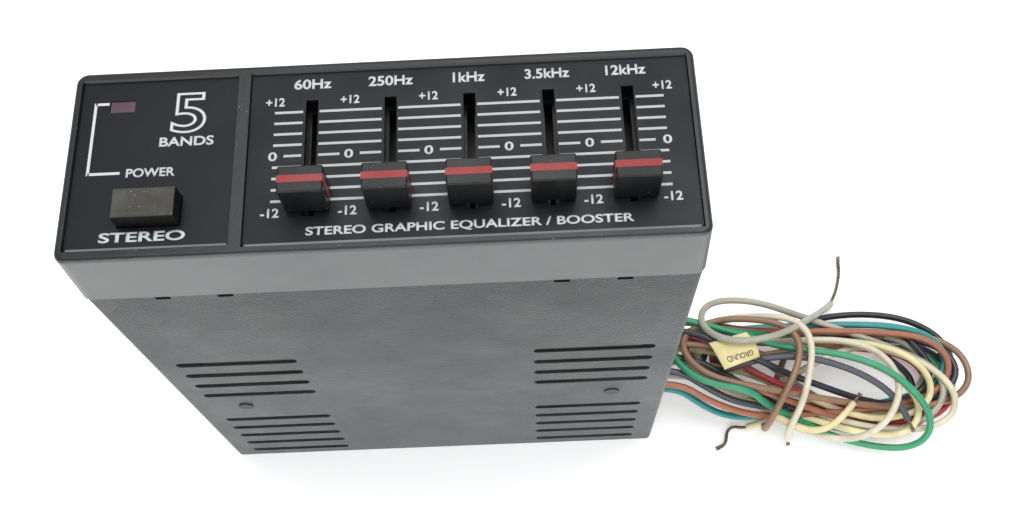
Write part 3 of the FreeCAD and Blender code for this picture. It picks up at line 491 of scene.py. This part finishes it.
# Each lead: its hole's column and row, then its points from the hole to the waist of the hank.
LEADS = {
    "teal": (0, 0, [(93, -18, 13), (101, -21, 9.4), (111, -22, 7.5)]),
    "copper": (0, 1, [(94, -18, 19), (103.5, -21, 15.2), (112, -22.4, 12.4), (119, -22.4, 10.4)]),
    "dark_grey": (
        1, 1, [(93.5, -13.2, 19.8), (102, -17.6, 17.4), (110.5, -19.2, 14.6), (118, -19.4, 11.6)]
    ),
    "white": (1, 0, [(94, -9.4, 15.4), (104, -13, 13), (113, -15.4, 10.4)]),
    "tan": (2, 0, [(94, -3.8, 16), (103.5, -5.4, 14.2), (112, -6.4, 11.4)]),
    "cream": (3, 0, [(94, 2.2, 15), (103.5, 1, 12), (112, -0.4, 10)]),
    "brown": (3, 1, [(93, 2, 20.6), (103, 1, 18.4), (113, 0.4, 16), (121, -2, 13)]),
    "black": (2, 1, [(93, -4.4, 20.4), (102, -9.4, 18.6), (111, -13.4, 15.4), (119, -16.4, 12.4)]),
    "red": (4, 0, [(93, 6, 16.6), (101.5, 0.4, 16), (110, -5.4, 15.6), (119, -10.8, 13.4)]),
    "ground": (
        4, 1, [(92, 5.6, 22.8), (101, 0.6, 23.6), (111, -4, 22.4), (120, -7.4, 18.4), (127, -9.4, 14.5)]
    ),
    "green": (5, 1, [(93, 10.6, 20.8), (103, 7.4, 19.8), (112.5, 4.6, 18.8), (121.2, 1.4, 18)]),
    "grey": (5, 0, [(94, 12.8, 15), (104, 9, 12), (113, 3, 9)]),
}

# The folds of each lead in order, each at the right or the left end of the hank. A fold is the place
# of its tip, half the distance between its two runs, and the heights of the upper and the lower run.
# The first word is the run that the lead goes out along.
FOLDS = {
    "teal": ("lower", [(184, -4, 15, 13, 4), (92, 8, 12, 8, 6)]),
    "copper": ("lower", [(184, -6, 13.5, 12.5, 6), (88, 4, 14.5, 14, 22), (187, -10, 18, 7, 3)]),
    "dark_grey": ("lower", [(187, -7, 17, 3, 3), (87.5, 3.5, 13.5, 10, 16)]),
    "white": ("upper", [(184, -19, 17, 12, 8), (87, 7, 14, 12, 8)]),
    "tan": ("lower", [(175.5, -14, 15, 15, 9), (86, 7, 14, 4, 10)]),
    "cream": ("upper", [(181, -8, 15, 3, 6), (90, 5, 13, 9, 4), (171, -24, 15, 14, 11)]),
    "brown": ("upper", [(190.5, -6, 14.5, 9, 8), (85, 2, 15, 22, 24.6)]),
    "black": ("lower", [(188, -2, 25, 6, 4), (90, 5, 15, 9, 3), (181, -7, 14, 11, 6)]),
    "red": ("lower", [(177, -8, 14, 3, 4), (92, 7, 12, 5, 8), (187, -12, 16, 4, 5)]),
    "ground": ("lower", [(186, -5, 14, 7, 6), (88, 4, 12, 10, 7), (174, -11, 18, 3, 4)]),
    "green": ("lower", [(83, 0, 15, 18, 24), (184, -9, 14, 3, 10)]),
    "grey": ("lower", [(178, -6, 17, 10, 3), (92, 3, 12, 7, 5), (183, -13, 19, 12, 4)]),
}
# How many of a fold's seven points a lead follows at its last fold; the others follow them all.
LAST_POINTS = {
    "copper": 4, "black": 6, "red": 5, "ground": 6, "green": 5, "brown": 5, "dark_grey": 4, "grey": 5,
}

# Folds laid point by point, because they lie over all the others: before the lead's other
# folds, and after them.
LAID_FIRST = {
    "green": [
        (130.5, -1.4, 20), (140, -3.2, 20.8), (149.4, -6.2, 20.6), (158.5, -11, 20),
        (165.6, -17.8, 19), (170.8, -24.6, 16.6), (172.4, -30, 13), (169.4, -34, 9.4), (163, -35, 6.6),
        (155, -33.6, 5), (146, -30.4, 4.6), (137, -26.4, 5), (126, -22.6, 8), (114, -20.6, 14),
    ],
}
LAID_LAST = {
    "white": [
        (112, 5, 14), (123, 4.4, 15), (134, 4, 15.6), (145, 3.2, 16), (154.4, 0, 16.6),
        (160.4, -6, 17.4), (161.6, -14, 19.6), (159.6, -21.6, 21), (155, -28.6, 19.4),
        (148, -32.6, 15.6), (139.4, -32, 11.4), (130, -27.4, 8), (118, -21, 7),
    ],
}
HALF_FOLDS = {"white": (91, 5, 13, 16, 6)}  # half a fold more, after all the others

# The ends of the leads that come out of the hank.
TAILS = {
    "dark_grey": [
        (93, -6.6, 18), (101, -8.4, 19.6), (110.5, -5.6, 20.8), (120, -4, 21), (130.5, -4.4, 20.6),
        (140, -6.9, 20), (149.3, -11, 19.2), (156.8, -16.2, 18.2), (161.6, -22, 16.8), (163.8, -27, 15),
    ],
    "tan": [(127, -28.6, 12), (134.5, -29.6, 14), (141, -25.6, 15), (146, -20, 14.6)],
    "brown": [
        (98, 11.4, 18), (106, 11.8, 20), (115, 10.8, 21.2), (123, 9.2, 22.2), (129.2, 5.6, 23),
        (129.6, -1.2, 23.5), (125.6, -9.8, 23), (119.8, -19.6, 21.4), (115.4, -26.4, 17),
        (114, -28.5, 10), (116, -24, 3), (119, -16, 1.6), (123, -6, 1.4), (128, 4, 1.4),
    ],
    "white": [
        (97, 12.6, 15), (107, 12.6, 18.4), (117, 11.4, 20.8), (126, 9.8, 22.4), (132.4, 5, 23),
        (132.2, -2.6, 23.4), (129.8, -12, 22.6), (127, -20.4, 20.6), (123.6, -26.6, 16),
        (122.4, -29, 11), (123.4, -29.8, 6),
    ],
    "cream": [(122, -19, 10), (116.5, -22.5, 5), (110.5, -23.6, 1.8)],
    "grey": [
        (128, 15.6, 14.4), (119, 19, 15.4), (109.4, 20.4, 16.6), (100.4, 19.2, 18), (95, 15, 19.6),
        (93.6, 8.8, 21.6), (97.4, 3.2, 25.4), (104.6, 0.2, 27.6), (113, 0.5, 27.4), (122, 3.4, 25.4),
        (130, 8.4, 21.6), (137, 13.6, 15.6), (142.8, 18.6, 8.4), (147, 23, 2.4),
    ],
}

FOLD_POINTS = 7
FOLD_ANGLE, FOLD_STEP = 78, 26  # degrees from a fold's axis to its first point, and between points
BLUNTEST, SHARPEST = 0.38, 0.8  # the powers of the cosine that round off a fold's end


def fold(tip_x, tip_y, half, upper_z, lower_z):
    """The points round one end of the hank, from the upper run to the lower run."""
    bluntness = half * half / (9 * abs(tip_x - WAIST[0]))
    bluntness = max(BLUNTEST, min(SHARPEST, bluntness))
    points = []
    for step in range(FOLD_POINTS):
        angle = math.radians(FOLD_ANGLE - FOLD_STEP * step)
        reach = math.cos(angle) ** bluntness
        side = math.sin(angle)
        x = WAIST[0] + (tip_x - WAIST[0]) * reach
        middle = WAIST[1] + (tip_y - WAIST[1]) * reach
        pinch = 1 - WAIST_PINCH * math.exp(-(((x - WAIST[0]) / WAIST_REACH) ** 2))
        z = lower_z + (upper_z - lower_z) * (side + 1) / 2
        points.append((x, middle + half * side * pinch, z))
    return points


def lead_route(colour):
    """All the points of a lead, and how many of them lead in to the hank."""
    column, row, laid = LEADS[colour]
    y = (column - (GROMMET_COLUMNS - 1) / 2) * HOLE_PITCH
    z = EXIT_HEIGHT + (row - 0.5) * HOLE_PITCH
    points = [(GROMMET_FACE, y, z), (GROMMET_FACE + EXIT_RUN, y, z)] + laid
    lead_in = len(points)
    first, folds = FOLDS[colour]
    downward = first == "upper"
    points += LAID_FIRST.get(colour, [])
    for number, shape in enumerate(folds):
        turn = fold(*shape) if downward else fold(*shape)[::-1]
        if number == len(folds) - 1:
            turn = turn[: LAST_POINTS.get(colour, FOLD_POINTS)]
        points += turn
        downward = not downward
    points += LAID_LAST.get(colour, [])
    if colour in HALF_FOLDS:
        points += fold(*HALF_FOLDS[colour])[::-1][: (FOLD_POINTS + 1) // 2]
    return points + TAILS.get(colour, []), lead_in


def shares(part, whole):
    """Part over whole, and nothing where the whole is nothing."""
    return np.divide(part, whole, out=np.zeros(part.shape), where=whole > 0)


def spline_weights(count, samples):
    """How much each of a quadratic spline's control points weighs at points spread evenly along it."""
    knots = np.concatenate([[0, 0], np.arange(count - 1), [count - 2, count - 2]]).astype(float)
    at = np.linspace(0, count - 2 - 1e-9, samples)[:, None]
    weights = ((at >= knots[:-1]) & (at < knots[1:])).astype(float)
    for degree in (1, 2):
        spans = len(knots) - 1 - degree
        start = knots[:spans]
        end = knots[degree + 1 : degree + 1 + spans]
        rise = shares(at - start, knots[degree : degree + spans] - start)
        fall = shares(end - at, end - knots[1 : 1 + spans])
        weights = rise * weights[:, :spans] + fall * weights[:, 1 : spans + 1]
    return weights


def bends(line):
    """How sharply a line turns at each of its points, as one over the radius."""
    ahead = np.gradient(line, axis=0)
    turn = np.gradient(ahead, axis=0)
    speed = np.maximum(np.linalg.norm(ahead, axis=1), 1e-6)
    return np.linalg.norm(np.cross(ahead, turn), axis=1) / speed**3


# How leads that lie in each other push each other apart, in millimetres where nothing else is said.
ROUNDS = 45
GAP = 2.45  # between two leads' axes
LEAST_RADIUS = 7.6
LARGEST_MOVE = 0.8  # of a point, in one round
LOWEST, HIGHEST = 1.35, 28  # where an axis may lie above the ground
SAMPLES = 3  # the places looked at for each of a lead's points
NEXT_SAMPLES = 4  # a lead's own places this near along it may be closer than the gap
TAIL_SHARE = 0.15  # how much of a push moves a tail, which was laid where it is seen
EASE_SHARE = 0.16  # how much of a tight bend is taken out in one round
CROSS_LIFT = 1e-3  # tells which of two leads goes up where their axes meet exactly
PUSH_SOFTNESS = 0.3  # keeps the push small on a point that hardly weighs in where leads touch


def settled():
    """Every lead's points, after leads that lie in each other have pushed each other apart."""
    routes, blocks, fine, owners, orders, free = {}, [], [], [], [], []
    for number, colour in enumerate(LEADS):
        route, lead_in = lead_route(colour)
        tail = len(TAILS.get(colour, []))
        points = np.array(route)
        routes[colour] = points
        samples = len(points) * SAMPLES
        blocks.append(spline_weights(len(points), samples))
        fine.append(spline_weights(len(points), samples * 3))
        owners.append(np.full(samples, number))
        orders.append(np.arange(samples))
        movable = np.ones(len(points))
        movable[:lead_in] = 0
        if tail:
            movable[-tail:] = TAIL_SHARE
        free.append(movable)
    owner = np.concatenate(owners)
    order = np.concatenate(orders)
    apart = (owner[:, None] != owner) | (np.abs(order[:, None] - order) > NEXT_SAMPLES)
    for _ in range(ROUNDS):
        line = np.concatenate([weights @ points for weights, points in zip(blocks, routes.values())])
        offset = line[:, None, :] - line[None, :, :]
        offset[:, :, 2] += CROSS_LIFT * np.sign(owner[:, None] - owner)
        distance = np.sqrt((offset**2).sum(2))
        overlap = np.where(apart & (distance < GAP), GAP - distance, 0)
        push = (offset * (overlap / np.maximum(distance, 1e-6))[:, :, None]).sum(1) / 2
        touched = (overlap > 0).any(1).astype(float)
        done = 0
        for weights, close, points, movable in zip(blocks, fine, routes.values(), free):
            span = slice(done, done + len(weights))
            done += len(weights)
            move = weights.T @ push[span] / (weights.T @ touched[span] + PUSH_SOFTNESS)[:, None]
            move[1:-1] = (move[:-2] + 2 * move[1:-1] + move[2:]) / 4
            points += np.clip(move, -LARGEST_MOVE, LARGEST_MOVE) * movable[:, None]
            tight = np.clip((close.T @ (bends(close @ points) > 1 / LEAST_RADIUS))[1:-1], 0, 1)
            ease = (points[:-2] + points[2:]) / 2 - points[1:-1]
            points[1:-1] += EASE_SHARE * ease * (tight * np.sign(movable[1:-1]))[:, None]
            points[movable > 0, 2] = np.clip(points[movable > 0, 2], LOWEST, HIGHEST)
    return routes


# --- Leads ---------------------------------------------------------------------------------

COLOURS = {
    "teal": srgb(30, 140, 138),
    "copper": srgb(158, 98, 70),
    "dark_grey": srgb(66, 68, 78),
    "white": srgb(212, 204, 180),
    "tan": srgb(222, 208, 160),
    "cream": srgb(228, 218, 165),
    "brown": srgb(140, 106, 80),
    "black": srgb(32, 33, 38),
    "red": srgb(176, 52, 58),
    "ground": srgb(38, 40, 50),
    "green": srgb(40, 148, 104),
    "grey": srgb(166, 164, 148),
}
copper_strands = metal("copper_strands", srgb(136, 122, 102), 0.5)


def wires(name, lines, diameter, finish, roundness, smoothness):
    """Round wires as one piece, each along a smooth spline through its line of control points."""
    data = bpy.data.curves.new(name, "CURVE")
    data.dimensions = "3D"
    for line in lines:
        spline = data.splines.new("NURBS")
        spline.points.add(len(line) - 1)
        for point, place in zip(spline.points, line):
            point.co = (*(Vector(place) / MM), 1)
        spline.order_u = 3
        spline.use_endpoint_u = True
        spline.resolution_u = smoothness
    data.bevel_depth = diameter / 2 / MM
    data.bevel_resolution = roundness
    data.use_fill_caps = True
    data.materials.append(finish)
    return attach(added(name, data), "case")


LENGTH_SAMPLES = 40  # for each control point


def spline_length(points):
    """The length of a lead's spline, in metres."""
    line = spline_weights(len(points), LENGTH_SAMPLES * len(points)) @ np.array(points, float)
    return float(np.linalg.norm(np.diff(line, axis=0), axis=1).sum()) / MM


STRANDS = 3
STRAND_DIAMETER = 0.56
STRAND_SPREAD = 0.32  # from the line that the strands are twisted round, widening by STRAND_OPEN
STRAND_OPEN = 0.8
STRAND_TWIST = 90.0  # degrees in each millimetre
STRAND_SAMPLES = 14  # for each control point


def bare_strands(name, points):
    """The stripped end of a lead: fine copper strands twisted round a smooth line."""
    line = spline_weights(len(points), STRAND_SAMPLES * len(points)) @ np.array(points, float)
    steps = np.concatenate([[0], np.cumsum(np.linalg.norm(np.diff(line, axis=0), axis=1))])
    lines = [[] for _ in range(STRANDS)]
    for number, (place, along) in enumerate(zip(line, steps)):
        ahead = Vector(line[min(number + 1, len(line) - 1)] - line[max(number - 1, 0)]).normalized()
        side = ahead.orthogonal().normalized()
        other = ahead.cross(side)
        spread = STRAND_SPREAD * (1 + STRAND_OPEN * (along / steps[-1]) ** 6)
        for strand, places in enumerate(lines):
            angle = math.radians(STRAND_TWIST) * along + strand * math.tau / STRANDS
            offset = (side * math.cos(angle) + other * math.sin(angle)) * spread
            places.append(Vector(place) + offset)
    return wires(name, lines, STRAND_DIAMETER, copper_strands, roundness=2, smoothness=2)


TAG_THICKNESS = 0.3
TAG_COLUMNS, TAG_ROWS = 14, 16
TAG_BULGE, TAG_WAVE = 0.3, 0.12
TAG_WORD_ALONG = (0.86, -0.68)  # where the word starts along the label, and how far it goes
TAG_WORD_ACROSS = (-0.32, -0.4)
TAG_WORD_WEIGHT = 0.015
TAG_WORD_LIFT = 0.2
tag_ink = painted("tag_ink", srgb(52, 46, 38), 0.7, grain=3000, depth=0.00001, dust=0.2, specks=0.6)
tag_cloth, tag_tree, tag_shader = material("tag_cloth", 0.75)
weave = noise(tag_tree, 900, (1, 0.3, 1), Detail=4)
stain = noise(tag_tree, 120, Detail=6)
aged = ramp(tag_tree, stain.outputs["Fac"], 0.35, 0.75, srgb(232, 222, 168), srgb(196, 178, 122))
tag_tree.links.new(aged, tag_shader.inputs["Base Color"])
bumped(tag_tree, tag_shader, (weave.outputs["Fac"], 0.00006))

# The label's two long edges and its fold: how far across each lies, and its two ends.
TAG_EDGES = {
    -1.0: ((100.5, -8.8, 23.8), (113.2, -4.6, 23.8)),
    0.0: ((97.7, -3.7, 25.6), (112.4, -0.5, 25.0)),
    1.0: ((95.8, 0.8, 25.0), (109.6, 4.8, 24.0)),
}


def tag_place(along, across):
    """A place on the label: along the lead from 0 to 1, and across it from -1 to 1."""
    edges = sorted(TAG_EDGES)
    below = max(edge for edge in edges[:-1] if edge <= across)
    above = min(edge for edge in edges if edge > below)
    share = (across - below) / (above - below)
    low = Vector(TAG_EDGES[below][0]).lerp(Vector(TAG_EDGES[below][1]), along)
    high = Vector(TAG_EDGES[above][0]).lerp(Vector(TAG_EDGES[above][1]), along)
    place = low.lerp(high, share)
    place.z += TAG_BULGE * math.sin(math.pi * share) + TAG_WAVE * math.sin(9 * along + 2 * across)
    return place


def sheet(name, mesh, thickness, finish):
    """A thin piece of the label, thickened to both sides of its mesh."""
    piece = added(name, mesh)
    thicken = piece.modifiers.new("thickness", "SOLIDIFY")
    thicken.thickness = thickness
    thicken.offset = 0
    mesh.materials.clear()
    mesh.materials.append(finish)
    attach(piece, "case")
    return piece


def ground_tag():
    """The cloth label folded over the ground lead."""
    shape = bmesh.new()
    grid = []
    for row in range(TAG_ROWS + 1):
        across = -1 + row / (TAG_ROWS // 2)
        places = [tag_place(column / TAG_COLUMNS, across) for column in range(TAG_COLUMNS + 1)]
        grid.append([shape.verts.new(place / MM) for place in places])
    for lower, upper in zip(grid, grid[1:]):
        for i in range(TAG_COLUMNS):
            shape.faces.new((lower[i], lower[i + 1], upper[i + 1], upper[i]))
    mesh = bpy.data.meshes.new("tag")
    shape.to_mesh(mesh)
    shape.free()
    for face in mesh.polygons:
        face.use_smooth = True
    tag = sheet("tag", mesh, TAG_THICKNESS / MM, tag_cloth)
    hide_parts("ground_tag")
    return tag


def tag_word():
    """The word stamped on the label's lower flap, its head away from the fold."""
    mesh, low, high = text_mesh("tag_word", "GROUND", TAG_WORD_WEIGHT)
    for vert in mesh.vertices:
        along = TAG_WORD_ALONG[0] + TAG_WORD_ALONG[1] * (vert.co.x - low[0]) / (high[0] - low[0])
        across = TAG_WORD_ACROSS[0] + TAG_WORD_ACROSS[1] * (vert.co.y - low[1]) / (high[1] - low[1])
        place = tag_place(along, across)
        vert.co = (place.x / MM, place.y / MM, (place.z + TAG_WORD_LIFT) / MM)
    return sheet("tag_word", mesh, INK, tag_ink)


# The stripped ends that lie on the ground. The others go on straight from their lead.
BARE_ENDS = {
    "grey": [
        (146.4, 22.2, 3), (149.4, 27, 1.4), (151.2, 31.5, 1), (152.6, 36.5, 1), (152.5, 40.5, 1.8),
        (153.2, 42.9, 1.2),
    ],
    "cream": [
        (111.4, -23.4, 2.2), (108.9, -23.8, 1.6), (105.4, -22.8, 1.2), (103.0, -24.6, 1),
        (102.4, -28.4, 1.3), (101, -30.2, 1.2), (98.6, -30.9, 0.9),
    ],
}
BARE_LENGTH = 4.5
for colour, points in settled().items():
    name = "lead_" + colour
    finish = insulation(name, COLOURS[colour])
    lead = wires(name + "_cord", [points], LEAD_DIAMETER, finish, roundness=4, smoothness=6)
    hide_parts(name, "harness_hank", "harness_tie")
    if colour in BARE_ENDS:
        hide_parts(name + "_end")
        bare = BARE_ENDS[colour]
    else:
        ahead = (points[-1] - points[-2]) / np.linalg.norm(points[-1] - points[-2])
        bare = [points[-1] - ahead, points[-1] + 2 * ahead, points[-1] + BARE_LENGTH * ahead]
    ends = [bare_strands("strands_" + colour, bare)]
    if colour == "ground":
        ends += [ground_tag(), tag_word()]
    round(spline_length(points), 3)
